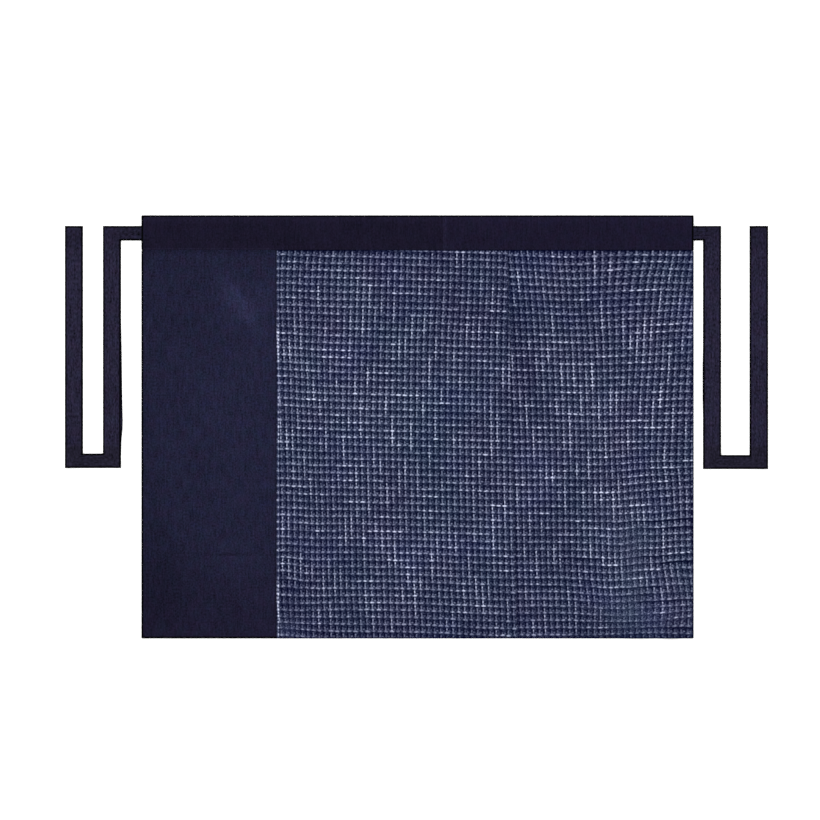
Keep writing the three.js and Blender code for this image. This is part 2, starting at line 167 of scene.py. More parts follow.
# Thick pale yarns of the check cloth, charted on 2 mm squares counted right and down
# from the check's upper left corner, by how pale they are out of ten. Along a row: the first
# square, how many, and the row. A negative paleness is painted shade: a dark line under a
# row that has dropped into a fold.
# CHART_JOIN is where the left width ends, and MARK sizes a yarn's mark in threads.
CHART_SQUARE = 2
CHART_CORNER = (-281, 354)
CHART_JOIN = 232.5
MARK = {"reach": 0.62, "fade": 0.3, "end": 0.35}
WEFT_SLUBS = {
    10: (
        (46, 30, 100), (46, 30, 107), (0, 10, 82), (29, 18, 149), (90, 34, 281), (214, 18, 255),
        (222, 18, 320), (174, 18, 361), (350, 28, 112), (290, 14, 143), (276, 16, 220),
        (378, 16, 231), (346, 20, 263), (352, 20, 328),
    ),
    9: (
        (120, 30, 145), (58, 28, 173), (66, 16, 230), (112, 12, 310), (4, 7, 313), (214, 18, 39),
        (190, 20, 68), (190, 38, 82), (192, 14, 96), (198, 16, 111), (158, 30, 189),
        (140, 30, 246), (142, 16, 260), (246, 12, 320), (360, 28, 12), (324, 18, 107),
        (364, 36, 74), (362, 34, 177), (316, 16, 207), (320, 16, 242), (320, 20, 249),
        (352, 20, 255), (364, 32, 297), (392, 26, 301), (324, 14, 308), (324, 20, 314),
        (360, 24, 319),
    ),
    8: (
        (116, 20, 43), (0, 12, 125), (108, 18, 130), (6, 8, 133), (24, 26, 178), (113, 13, 181),
        (102, 16, 209), (22, 28, 244), (72, 18, 251), (98, 26, 267), (74, 16, 288), (80, 16, 330),
        (128, 18, 317), (124, 18, 346), (90, 16, 352), (94, 14, 367), (178, 12, 9), (178, 12, 16),
        (214, 17, 60), (216, 16, 306), (174, 16, 340), (272, 28, 7), (324, 12, 63), (344, 36, 40),
        (370, 22, 81), (280, 24, 135), (380, 16, 149), (280, 18, 292), (384, 14, 361),
        (396, 22, 366),
    ),
    7: (
        (9, 17, 12), (60, 24, 28), (89, 17, 35), (10, 11, 47), (59, 19, 71), (66, 24, 216),
        (76, 12, 223), (10, 18, 236), (40, 18, 259), (128, 18, 324), (26, 20, 375), (142, 24, 29),
        (178, 12, 2), (158, 12, 102), (256, 14, 84), (240, 30, 106), (238, 30, 120),
        (162, 14, 153), (152, 12, 160), (206, 18, 205), (166, 22, 218), (238, 18, 235),
        (194, 14, 284), (218, 14, 299), (198, 12, 356), (248, 18, 334), (308, 16, 35),
        (284, 30, 50), (376, 20, 119), (332, 34, 171), (362, 34, 156), (296, 14, 242),
        (362, 14, 225), (374, 26, 217), (408, 10, 211), (292, 32, 271), (318, 40, 279),
        (310, 14, 377), (400, 18, 348), (398, 20, 266),
    ),
    6: (
        (85, 14, 6), (89, 27, 122), (69, 30, 187), (2, 12, 279), (99, 9, 295), (94, 14, 359),
        (16, 20, 379), (204, 26, 53), (188, 14, 226), (180, 40, 240), (242, 38, 156),
        (240, 40, 178), (176, 16, 175), (216, 16, 384), (284, 18, 164), (368, 12, 184),
        (350, 14, 191), (380, 16, 141), (324, 24, 337), (280, 16, 342),
    ),
    5: (
        (22, 24, 41), (68, 28, 79), (70, 14, 144), (39, 17, 281), (34, 28, 345), (124, 14, 374),
        (142, 18, 44), (190, 18, 75), (210, 18, 118), (146, 16, 196), (210, 24, 313),
        (248, 22, 263), (356, 40, 5),
    ),
    4: (
        (112, 14, 21), (4, 16, 154), (102, 14, 137), (242, 12, 84), (190, 14, 212),
    ),
    -5: (
        (324, 40, 370), (254, 40, 255),
    ),
    -6: (
        (342, 22, 271), (342, 32, 313), (342, 32, 343.5), (284, 40, 306), (244, 40, 333),
    ),
    -7: (
        (364, 54, 276.5), (364, 30, 304.5), (342, 22, 307),
    ),
    -8: (
        (394, 22, 301), (342, 42, 335.5),
    ),
    -9: (
        (364, 54, 268.5), (360, 58, 350),
    ),
    -10: (
        (384, 34, 310.5), (364, 54, 376),
    ),
}
# Down a column: the first square, how many, and the column
WARP_SLUBS = {
    10: (
        (88, 20, 14), (53, 19, 118), (66, 20, 136), (179, 21, 11), (180, 22, 17), (170, 24, 116),
        (332, 36, 3), (308, 14, 9), (305, 19, 24), (22, 20, 241), (66, 14, 276), (218, 12, 276),
        (246, 18, 229), (304, 8, 156), (326, 18, 200), (256, 44, 217), (335, 15, 237),
        (0, 22, 319), (40, 16, 385), (112, 26, 316), (150, 28, 377), (136, 20, 384),
        (262, 10, 367), (340, 24, 386), (333, 37, 2.5),
    ),
    9: (
        (80, 30, 3), (90, 18, 123), (118, 18, 91), (130, 8, 60), (187, 19, 67), (172, 26, 134),
        (222, 20, 123), (270, 21, 69), (270, 26, 87), (295, 19, 118), (335, 29, 139),
        (366, 16, 115), (2, 10, 187), (90, 20, 160), (116, 20, 227), (45, 11, 237), (18, 10, 259),
        (140, 12, 165), (154, 12, 146), (168, 22, 159), (200, 16, 153), (194, 14, 215),
        (146, 30, 250), (284, 16, 180), (296, 12, 249), (296, 16, 277), (370, 16, 257),
        (52, 28, 326), (105, 27, 392), (152, 16, 323), (198, 14, 388), (214, 14, 300),
        (306, 10, 284), (318, 16, 303), (295, 13, 314), (270, 26, 384), (328, 10, 370),
    ),
    8: (
        (36, 22, 42), (47, 13, 106), (60, 23, 86), (149, 17, 44), (146, 16, 110), (170, 23, 4),
        (180, 20, 50), (218, 20, 80), (234, 21, 111), (210, 16, 129), (310, 20, 14), (320, 20, 48),
        (324, 19, 59), (266, 18, 75), (322, 12, 131), (2, 10, 181), (35, 11, 144), (108, 26, 153),
        (318, 12, 156), (302, 26, 193), (350, 22, 232), (300, 26, 260), (86, 14, 354),
        (70, 22, 375), (112, 18, 297), (140, 24, 334), (142, 20, 340), (146, 16, 305),
        (166, 30, 293), (146, 18, 365), (170, 16, 411), (218, 16, 404), (236, 22, 289),
        (236, 16, 326), (336, 20, 292), (346, 12, 312), (358, 10, 327), (258, 8, 337),
        (264, 8, 362), (328, 8, 364),
    ),
    7: (
        (7, 8, 31), (75, 10, 48), (70, 13, 19), (100, 6, 8), (90, 13, 129), (134, 14, 38),
        (198, 18, 98), (216, 10, 62), (228, 22, 35), (240, 22, 92), (318, 6, 30), (320, 13, 64),
        (360, 16, 43), (2, 8, 156), (36, 18, 217), (68, 15, 148), (2, 8, 252), (0, 7, 276),
        (90, 10, 253), (105, 15, 237), (114, 8, 266), (140, 8, 141), (186, 10, 178),
        (232, 10, 142), (230, 8, 166), (208, 18, 203), (140, 17, 244), (180, 28, 257),
        (216, 12, 270), (240, 14, 241), (280, 12, 174), (328, 12, 144), (334, 22, 207),
        (332, 12, 213), (262, 24, 253), (270, 12, 265), (360, 22, 269), (372, 14, 220),
        (12, 16, 335), (80, 20, 361), (88, 12, 406), (176, 26, 352), (158, 22, 397),
        (200, 24, 312), (234, 18, 320), (240, 18, 337), (358, 22, 300), (258, 12, 386),
        (328, 14, 391), (306, 10, 329),
    ),
    6: (
        (35, 15, 93), (132, 12, 78), (160, 12, 22), (160, 8, 85), (178, 12, 85), (168, 12, 73),
        (210, 15, 104), (208, 17, 28), (247, 11, 41), (234, 8, 141), (262, 23, 7), (262, 18, 13),
        (310, 20, 19), (316, 10, 36), (280, 20, 106), (340, 28, 90), (366, 12, 96), (334, 16, 126),
        (102, 10, 178), (72, 18, 203), (83, 13, 221), (94, 16, 272), (108, 14, 260), (126, 8, 171),
        (124, 20, 184), (164, 34, 221), (232, 30, 197), (290, 20, 161), (268, 10, 173),
        (340, 10, 188), (64, 36, 347), (56, 10, 384), (100, 10, 360), (70, 14, 368), (50, 14, 402),
        (4, 26, 396), (114, 18, 285), (176, 34, 329), (230, 26, 343), (240, 10, 412),
        (356, 12, 322), (264, 8, 356), (270, 26, 390), (144, 8, 2.5), (80, 6, 2.5),
    ),
    5: (
        (76, 24, 24), (30, 20, 81), (118, 6, 30), (354, 30, 54), (35, 9, 174), (76, 14, 192),
        (70, 14, 198), (142, 12, 172), (166, 10, 209), (146, 48, 215), (260, 25, 148),
        (364, 20, 177), (370, 14, 171), (180, 16, 288), (150, 14, 281), (212, 18, 388),
        (236, 20, 308), (300, 30, 387), (306, 20, 346),
    ),
    4: (
        (95, 10, 19), (310, 18, 396),
    ),
}

# ---- Shades ----

# Broad uneven tones of the two cloths, with painted light and shade among them: in the check,
# painted shade along the waistband's foot and beside the seam; in the plain, a crease's painted
# shade with a painted highlight under it, and a spread of the painted sheen. Each row is a
# centre, a reach each way and a share
CHECK_TONE_AND_SHADE = (
    (-205, -300, 110, 70, -0.1), (-262, 40, 24, 260, -0.06), (0, 350, 620, 26, -0.09),
    (-130, 90, 110, 170, 0.06), (385, -70, 120, 120, 0.09), (222, 170, 22, 150, -0.11),
    (250, -380, 60, 40, -0.08), (500, 130, 50, 40, 0.08), (480, -310, 80, 100, 0.04),
)
PLAIN_TONE_LIGHT_AND_SHADE = (
    (-321, 244, 34, 40, 0.06), (-470, -300, 60, 90, -0.05), (-545, 345, 20, 14, -0.08),
    (-372, -255, 34, 2.6, -0.32), (-372, -262, 34, 5, 0.09), (-446, -268, 30, 3, 0.07),
    (-530, -290, 60, 110, -0.2), (-545, -60, 30, 140, -0.1), (-366, 30, 60, 90, 0.14),
    (-348, -300, 50, 70, 0.12), (-306, 236, 34, 60, 0.12), (-500, 250, 60, 60, -0.06),
)
# Patches where the check's pattern gives way to an even tone a little paler than its mean, in the
# same columns
CHECK_EVEN_PATCHES = (
    (431, -270, 24, 70, 0.34), (404, -372, 46, 30, 0.36), (470, -390, 60, 22, 0.26),
    (520, -330, 70, 60, 0.14), (430, -190, 60, 50, 0.12), (-262, -400, 26, 22, 0.3),
)
# Where the check turns greener, in the same columns
CHECK_TINTS = (
    (-24, 20, 60, 110, -0.45), (60, 50, 60, 40, -0.35), (420, -330, 60, 60, -0.5),
    (100, -190, 80, 60, -0.2),
)
# A painted sheen (a soft painted highlight) on the plain cloth, and a painted highlight along
# a short crease in the check: a centre and a heading
SHEEN_CENTRE, SHEEN_TURN = (-353, 244), (0.6, 0.8)
CREASE_HIGHLIGHT_CENTRE, CREASE_HIGHLIGHT_TURN = (493, -399), (0.91, 0.41)

# ---- Sizes of the ties, in mm ----

# Edges of each tie's runs, and the stretch where its under layer slips into view
TIES = {
    "left": {
        "end": -549, "inner": -591, "outer": -627, "far_inner": -667, "far_outer": -703,
        "bar_top": -53, "bar_foot": -82,
        "slack": ((214, 0.4), (150, 1.6), (50, 2.9), (10, 3.7), (-6, 3.2), (-26, 1.2)),
    },
    "right": {
        "end": 553, "inner": 573, "outer": 609, "far_inner": 666, "far_outer": 703,
        "bar_top": -56, "bar_foot": -84,
        "slack": ((160, 0.4), (120, 1.2), (60, 1.2), (20, 0.4)),
    },
}
TIE_TOP = 402
TIE_ROOT_FOOT = 373
TIE_ROOT = 18
TIE_CLOTH = 0.6 * MM
TIE_WALL = 1.5
TIE_FOLDED = 2.4
TIE_ROOT_WALL = 1.3
TIE_ROOT_LIFT = 1.2
TIE_RISE_RUN = 14
TIE_PEEK = 0.4
TIE_CROWN = 0.12
CREASE_RUN = 0.8
BAR_LEAD = 20
TIE_STATION = 7 * MM
# The tie's section starts with so many corners on its under layer, and its root with so many
# stations that lie flat
UNDER_CORNERS = 4
ROOT_STATIONS = 4


# ---- Shader sums ----

def math_node(operation, self_last=False):
    """A method that adds one Math node, with its own value first or last."""
    def add(self, *others):
        values = (*others, self) if self_last else (self, *others)
        return self.finish.node("ShaderNodeMath", {"operation": operation}, *values)
    return add


class Wire:
    """A shader value. Sums written with it add Math nodes to its finish."""

    def __init__(self, finish, socket):
        self.finish = finish
        self.socket = socket

    __add__ = __radd__ = math_node("ADD")
    __mul__ = __rmul__ = math_node("MULTIPLY")
    __sub__ = math_node("SUBTRACT")
    __rsub__ = math_node("SUBTRACT", self_last=True)
    __truediv__ = math_node("DIVIDE")
    __rtruediv__ = math_node("DIVIDE", self_last=True)
    __pow__ = math_node("POWER")
    floor = math_node("FLOOR")
    size = math_node("ABSOLUTE")
    wave = math_node("SINE")
    least = math_node("MINIMUM")
    most = math_node("MAXIMUM")

    def scale(self, share):
        """A colour made lighter or darker."""
        return self.finish.node("ShaderNodeVectorMath", {"operation": "SCALE"}, self, Scale=share)

    def step(self, low, high):
        """0 below low and 1 above high, with a smooth change between them. If high is the
        smaller, 1 below high and 0 above low."""
        ends = (low, high, 0.0, 1.0) if low < high else (high, low, 1.0, 0.0)
        smooth = {"interpolation_type": "SMOOTHSTEP"}
        return self.finish.node("ShaderNodeMapRange", smooth, self, *ends)

    def within(self, half, soft):
        """1 where the value is within half of 0, fading out over soft."""
        return (self.size() - half).step(soft / 2, -soft / 2)


class Finish:
    """One material: a Principled shader and the nodes that feed it."""

    def __init__(self, name, **constants):
        self.material = bpy.data.materials.new(name)
        self.material.use_nodes = True
        self.tree = self.material.node_tree
        self.tree.nodes.clear()
        output = self.tree.nodes.new("ShaderNodeOutputMaterial")
        self.shader = self.tree.nodes.new("ShaderNodeBsdfPrincipled")
        self.tree.links.new(self.shader.outputs[0], output.inputs[0])
        for socket, value in constants.items():
            self.shader.inputs[socket.replace("_", " ")].default_value = value

    def plug(self, socket, value):
        if isinstance(value, Wire):
            self.tree.links.new(value.socket, socket)
        else:
            socket.default_value = value

    def feed(self, name, value):
        """Plugs a value into the shader."""
        self.plug(self.shader.inputs[name], value)

    def node(self, kind, settings=None, *values, out=0, **sockets):
        """Adds a node: its settings, its sockets in order, and any others by name."""
        made = self.tree.nodes.new(kind)
        for key, value in (settings or {}).items():
            setattr(made, key, value)
        for socket, value in zip(made.inputs, values):
            self.plug(socket, value)
        for key, value in sockets.items():
            self.plug(made.inputs[key.replace("_", " ")], value)
        return Wire(self, made.outputs[out])

    def flat(self, spot):
        """The first two coordinates of a place."""
        parts = self.node("ShaderNodeSeparateXYZ", {}, spot).socket.node
        return [Wire(self, parts.outputs[axis]) for axis in (0, 1)]

    def uv(self, name):
        """The two coordinates of one of the piece's own UV maps."""
        return self.flat(self.node("ShaderNodeUVMap", {"uv_map": name}))

    def place(self):
        """The two flat coordinates of the piece itself."""
        return self.flat(self.node("ShaderNodeTexCoord", {}, out=3))

    def point(self, x, y=0.0, z=0.0):
        return self.node("ShaderNodeCombineXYZ", {}, x, y, z)

    def cloud(self, x, y, detail=0.0, roughness=0.5, seed=0.0):
        """Soft noise from about -1 to 1, one blot to a unit of x and y."""
        spot = self.point(x, y, seed)
        value = self.node(
            "ShaderNodeTexNoise", {}, Vector=spot, Scale=1.0, Detail=detail, Roughness=roughness
        )
        return (value - 0.5) * 2.6

    def patches(self, x, y, rows):
        """Soft patches: each row is a centre, a reach each way and a strength."""
        total = 0.0
        for centre_x, centre_y, reach_x, reach_y, strength in rows:
            across = (x - centre_x * MM) / (reach_x * MM)
            along = (y - centre_y * MM) / (reach_y * MM)
            total = total + strength / spread(across, along)
        return total

    def lot(self, x, y, seed=0.0):
        """One random number from 0 to 1 for each whole x and y."""
        spot = self.point(x, y, seed)
        return self.node("ShaderNodeTexWhiteNoise", {"noise_dimensions": "3D"}, spot)

    def blend(self, share, a, b):
        """A colour between two colours."""
        made = self.tree.nodes.new("ShaderNodeMix")
        made.data_type = "RGBA"
        for index, value in ((0, share), (6, a), (7, b)):
            self.plug(made.inputs[index], value)
        return Wire(self, made.outputs[2])

    def casts(self, turn, cast, teal, purple, bluer):
        """A colour that wanders from teal to purple, and here and there to a bluer one."""
        colour = self.blend(turn.least(1.0).most(0.0), teal, purple)
        return self.blend(cast.most(0.0).least(0.8), colour, bluer)

    def ramp(self, value, stops):
        """A colour for each value, straight between the stops."""
        made = self.tree.nodes.new("ShaderNodeValToRGB")
        while len(made.color_ramp.elements) < len(stops):
            made.color_ramp.elements.new(0.5)
        for element, (at, colour) in zip(made.color_ramp.elements, stops):
            element.position = at
            element.color = colour
        self.plug(made.inputs[0], value)
        return Wire(self, made.outputs[0])

    def raise_by(self, height, distance, strength):
        """Bumps the surface by a height map."""
        bump = self.node(
            "ShaderNodeBump", {}, Strength=strength, Distance=distance, Height=height
        )
        self.feed("Normal", bump)


def spread(across, along):
    """What divides a soft patch's strength: 1 at its centre, 2 at its reach and more beyond."""
    return 1.0 + (across ** 2 + along ** 2) ** 2


def turned(x, y, centre, heading):
    """Coordinates from a centre in mm, turned so that they run across and along a heading."""
    right, up = x - centre[0] * MM, y - centre[1] * MM
    return right * heading[0] - up * heading[1], right * heading[1] + up * heading[0]


# How much the lamp and the sky together lift a flat surface's own brightness, and the little
# light that comes back from it whatever its dye
STUDIO_LIGHT = 1.54
SURFACE_HAZE = 0.0018


def dye(red, green, blue):
    """The dye that shows as a screen colour, 0 to 255 each, under the studio's light."""
    shares = [max(value, 0.0) / 255 for value in (red, green, blue)]
    light = [s / 12.92 if s <= 0.04045 else ((s + 0.055) / 1.055) ** 2.4 for s in shares]
    return (*(max(value / STUDIO_LIGHT - SURFACE_HAZE, 0.0) for value in light), 1.0)


# ---- How the cloth lies on the floor ----

def ease(t):
    t = min(max(t, 0.0), 1.0)
    return t * t * (3 - 2 * t)


def between(a, b, share):
    return a + (b - a) * share


def check_join(y):
    """Where the seam between the check widths lies at a height up the skirt."""
    rows = [(row_y * MM, row_x * MM) for row_y, row_x in CHECK_JOIN]
    for above, below in zip(rows, rows[1:]):
        if y >= below[0]:
            break
    return between(above[1], below[1], (y - above[0]) / (below[0] - above[0]))


def ridge_line(from_x, from_y, to_x, to_y, bow, width, height):
    """A ridge in metres: its start, heading, length, bow, half width and height."""
    start = Vector((from_x, from_y)) * MM
    run = Vector((to_x, to_y)) * MM - start
    return (*start, *run.normalized(), run.length, bow * MM, width * MM / 2, height * MM)


RIDGE_LINES = [ridge_line(*row) for row in RIDGES + CREASES]


def ridge_height(x, y):
    height = 0.0
    for start_x, start_y, run_x, run_y, length, bow, half, top in RIDGE_LINES:
        along = ((x - start_x) * run_x + (y - start_y) * run_y) / length
        if not 0 < along < 1:
            continue
        across = run_x * (y - start_y) - run_y * (x - start_x) - bow * 4 * along * (1 - along)
        if abs(across) < half:
            fade = ease(along / RIDGE_FADE) * ease((1 - along) / RIDGE_FADE)
            height += top * fade * math.cos(across / half * math.pi / 2) ** 2
    return height


def unevenness(x, y):
    """How laid cloth rises and falls by itself: broad soft swells and small dimples."""
    broad = noise.noise(Vector((x / (75 * MM), y / (110 * MM), 2.4)))
    small = noise.noise(Vector((x / (26 * MM), y / (34 * MM), 7.1)))
    return 0.30 * MM * (broad + 0.6) + 0.09 * MM * small


def in_band(y):
    """How far the cloth has risen into the waistband."""
    return ease((y - (BAND_FOOT - RISE_RUN)) / RISE_RUN)


def strip(distance, width):
    """1 on a doubled strip beside an edge and 0 past its step."""
    return 1 - ease((distance - (width - STRIP_STEP)) / STRIP_STEP)


def bed_height(x, y):
    """The middle of a single layer of cloth, over the floor."""
    loose = BEDDING + max(ridge_height(x, y), DEEPEST_TROUGH) + unevenness(x, y)
    return CLOTH / 2 + between(loose, PANEL_LIFT, in_band(y))


def thread_drift(x, y, weave):
    """Where the threads that cross at a point would be if the cloth lay true, in threads."""
    away = (y - WEAVE_DRIFT["centre"]) / WEAVE_DRIFT["reach"]
    dx = WEAVE_DRIFT["bow"] * away * away + weave["shift_x"]
    dy = weave["tilt"] * (x - weave["tilt_from"]) + weave["shift_y"]
    if weave["fanned"]:
        fade = math.exp(-(BAND_FOOT / MM - y) / FAN["fade"])
        dx += fade * (FAN["spread"] * math.tanh((x - FAN["x"]) / FAN["width"]) + FAN["shift"])
    for pull_x, pull_y, reach_x, reach_y, pull_dx, pull_dy in weave["pulls"]:
        share = math.exp(-(((x - pull_x) / reach_x) ** 2 + ((y - pull_y) / reach_y) ** 2))
        dx += pull_dx * share
        dy += pull_dy * share
    return (x - dx) / weave["across"], (y - dy) / weave["along"]


# ---- Making pieces ----

class Cloth:
    """A sheet under construction: its mesh, and where each point is on the flat cloth."""

    def __init__(self, across, along):
        self.mesh = bmesh.new()
        bmesh.ops.create_grid(self.mesh, x_segments=across, y_segments=along, size=0.5)
        self.share = {
            v: (round(v.co.x + 0.5, 6), round(v.co.y + 0.5, 6)) for v in self.mesh.verts
        }
        self.flat = {}

    def lay(self, spot):
        """Places each point by its shares across and along: its place, and its flat place."""
        for point, (across, along) in self.share.items():
            point.co, self.flat[point] = spot(across, along)

    def edge(self, axis, share):
        """The edges along one side of the sheet."""
        return [
            e for e in self.mesh.edges
            if all(v in self.share and self.share[v][axis] == share for v in e.verts)
        ]

    def carry(self, edges, outward, drop, reach):
        """Draws edges on by a step outward and down, and reach along the flat cloth."""
        made = bmesh.ops.extrude_edge_only(self.mesh, edges=edges)["geom"]
        points = [g for g in made if isinstance(g, bmesh.types.BMVert)]
        edges = [g for g in made if isinstance(g, bmesh.types.BMEdge)]
        before = {}
        for point in points:
            linked = [e.other_vert(point) for e in point.link_edges]
            before[point] = next(v for v in linked if v in self.flat)
        for point in points:
            x, y = self.flat[before[point]]
            self.flat[point] = (x + outward.x * reach, y + outward.y * reach)
        bmesh.ops.translate(self.mesh, verts=points, vec=(*(outward * drop[0]), -drop[1]))
        return edges, points

    def turn_under(self, edges, outward, depth, room, under):
        """Rolls an edge under itself and lays the turning flat below the cloth, mitred where
        there is less room for it."""
        turn = math.pi / FOLD_STEPS
        arc = FOLD_RADIUS * turn
        for step in range(FOLD_STEPS):
            out = FOLD_RADIUS * (math.sin((step + 1) * turn) - math.sin(step * turn))
            down = FOLD_RADIUS * (math.cos(step * turn) - math.cos((step + 1) * turn))
            edges, points = self.carry(edges, outward, (out, down), arc)
            for point in points:
                point.co.z = max(point.co.z, CLOTH / 2)
        for share in (0.4, 0.6):
            step = depth * share
            edges, points = self.carry(edges, outward, (0.0, 0.0), step)
            for point in points:
                point.co.xy -= outward * step * room(point.co)
                point.co.z = under(point.co.x, point.co.y)

    def piece(self, name, finish, uv_maps, thickness):
        """Closes the sheet into a shown piece, with its UV maps and its own thickness."""
        bmesh.ops.recalc_face_normals(self.mesh, faces=self.mesh.faces)
        upper = max(self.mesh.faces, key=lambda f: f.calc_center_median().z)
        if upper.normal.z < 0:
            bmesh.ops.reverse_faces(self.mesh, faces=self.mesh.faces)
        for uv_name, read in uv_maps.items():
            layer = self.mesh.loops.layers.uv.new(uv_name)
            for face in self.mesh.faces:
                for loop in face.loops:
                    loop[layer].uv = read(self, loop.vert, face)
        made = shown(name, self.mesh, finish)
        wall = made.modifiers.new("wall", "SOLIDIFY")
        wall.thickness = thickness
        wall.offset = 0.0
        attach(made, "root")
        return made


def shown(name, mesh, finish):
    """A finished mesh as an object of the scene, smooth all over."""
    data = bpy.data.meshes.new(name)
    mesh.to_mesh(data)
    mesh.free()
    for face in data.polygons:
        face.use_smooth = True
    made = bpy.data.objects.new(name, data)
    made.data.materials.append(finish.material)
    bpy.context.scene.collection.objects.link(made)
    return made


def flat_place(cloth, point, _face):
    """A point's place on the flat cloth."""
    return cloth.flat[point]


def measured(corners):
    """The corners of a path, each with its distance along the path put before it."""
    runs = [0.0]
    for a, b in zip(corners, corners[1:]):
        runs.append(runs[-1] + math.dist(b, a))
    return [(run, *corner) for run, corner in zip(runs, corners)]


# ---- Finishes ----

def navy_cotton(name, grain, strength):
    """Dark cotton: its grain as frequencies across and along the threads, and broad blots."""
    finish = Finish(name, Specular_IOR_Level=0.02, Sheen_Weight=0.01, Sheen_Roughness=0.5)
    across, along = finish.uv("cloth")
    fine = finish.cloud(across * grain[0], along * grain[1], detail=1.0, roughness=0.6, seed=1.0)
    streaks = finish.cloud(across * grain[0] * 0.8, along * grain[1] * 0.12, detail=1.0, seed=2.0)
    blots = finish.cloud(across * 60, along * 48, detail=2.0, seed=3.0)
    swell = finish.cloud(across * 15, along * 11, detail=1.0, seed=4.0)
    level = 1.0 + strength * (0.46 * fine + 0.24 * streaks) + 0.16 * blots + 0.13 * swell
    return finish, level, across, along


def finish_navy(finish, level, shade, mottle, across, along, purpler=0.0, greyer=0.0):
    """Dyes a dark cotton: mottled between purple, teal and blue, and darkened by painted shade at
    its open edges.
    """
    def cast(*shift, share=mottle):
        return dye(*(part + share * more for part, more in zip(shade, shift)))

    edge, _ = finish.uv("edge")
    # Painted shade: the cloth darkens to near black along its open edges
    rim = edge.step(2.7 * MM, 4.3 * MM)
    level = (level * (0.03 + 0.97 * rim)).most(0.01)
    turn = finish.cloud(across * 52, along * 44, detail=2.0, seed=6.0)
    bluer = finish.cloud(across * 44, along * 56, detail=1.0, seed=7.0)
    colour = finish.casts(
        turn * 0.7 + 0.5 + purpler, bluer - purpler,
        cast(-4.0, 2.6, -1.5), cast(4.0, -2.6, -1.5), cast(-0.5, 0.5, 7.0),
    )
    colour = finish.blend(greyer, colour, cast(-1.2, -0.9, -5.0, share=1.0))
    finish.feed("Base Color", colour.scale(level))
    finish.raise_by(level, 0.15 * MM, 0.4)
    finish.feed("Roughness", 0.92 - 0.04 * level)
    return finish


def plain_finish():
    finish, level, across, along = navy_cotton("plain_cotton", (320, 260), 1.6)
    x, y = finish.place()
    # Painted sheen: a soft painted highlight across a diagonal of the plain cloth
    sheen_across, sheen_along = turned(x, y, SHEEN_CENTRE, SHEEN_TURN)
    sheen = 1.0 / spread(sheen_across / (50 * MM), sheen_along / (18 * MM))
    foot = y.step(-200 * MM, -400 * MM)
    seam_shade = (x - (PLAIN_EDGE - 2 * MM)).within(1.5 * MM, 2 * MM)
    band_shade = y.step(BAND_FOOT - 14 * MM, BAND_FOOT - 1 * MM)
    # Painted light: the strip just under the waistband's foot is lightened against the band's
    # shade
    painted_light_under_band = (y - (BAND_FOOT - 0.5 * MM)).within(1 * MM, 1 * MM)
    level = level * (1.0 + 0.54 * sheen - 0.24 * foot) * (1.0 - 0.30 * seam_shade)
    level = level * (1.0 - 0.18 * band_shade) * (1.0 + 0.35 * painted_light_under_band)
    level = level * (1.0 + finish.patches(x, y, PLAIN_TONE_LIGHT_AND_SHADE))
    return finish_navy(finish, level, (34.8, 35.2, 57.3), 0.75, across, along, 0.24 * foot)


def band_finish():
    finish, level, across, along = navy_cotton("waistband_cotton", (330, 230), 1.2)
    x, y = finish.place()
    crown = y.step(WAIST - 20 * MM, WAIST - 8 * MM)
    # Painted light along the waistband's rolled foot over the plain panel, where the roll faces
    # down into shade
    painted_foot_light = (y - (BAND_FOOT + 1.8 * MM)).within(1.8 * MM, 1.5 * MM)
    painted_foot_light = painted_foot_light * x.step(PLAIN_EDGE, PLAIN_EDGE - 20 * MM)
    right_length = x.step(BAND_JOIN - 1 * MM, BAND_JOIN + 1 * MM)
    # A painted highlight along the join between the band's two lengths, wavering a little
    join_wave = 2.2 * MM * finish.cloud(0.0, y * 70, detail=1.0, seed=8.0)
    painted_join_highlight = (x - (BAND_JOIN - 0.5 * MM) + join_wave).within(3 * MM, 3 * MM)
    level = level * (0.95 + 0.18 * crown + 0.075 * right_length)
    level = level * (1.0 + 0.30 * painted_foot_light + 0.55 * painted_join_highlight)
    greyer = 0.35 * (1.0 - right_length)
    return finish_navy(finish, level, (30, 27, 45.6), 0.5, across, along, greyer=greyer)


def tie_finish():
    """The ties' cotton: a little darker in the runs that cross, greyer in the foot run, with a
    pale line where the first run turns down, and painted light on the strip of under layer that
    shows in the upper layer's shade."""
    finish, level, across, along = navy_cotton("tie_cotton", (330, 170), 2.2)
    _, painted_light_under_layer = finish.uv("edge")
    x, y = finish.place()
    right_tie = x.step(-1 * MM, 1 * MM)
    foot_run = y.step(-34 * MM, -42 * MM)
    cross_run = y.step(352 * MM, 358 * MM).most(foot_run)
    pale_line = (y - 349.5 * MM).within(0.5 * MM, 1.5 * MM)
    pale_line = pale_line * finish.cloud(across * 60, 0.0).step(-0.3, 0.2)
    level = level * (1.0 - 0.16 * cross_run + 0.30 * pale_line + 0.045 * right_tie)
    # Painted light: the strip of under layer that shows lies in the upper layer's shade and is
    # lightened many times over
    level = level * (1.0 + 16.0 * painted_light_under_layer)
    return finish_navy(finish, level, (39.8, 37.1, 56.4), 0.55, across, along, greyer=foot_run)


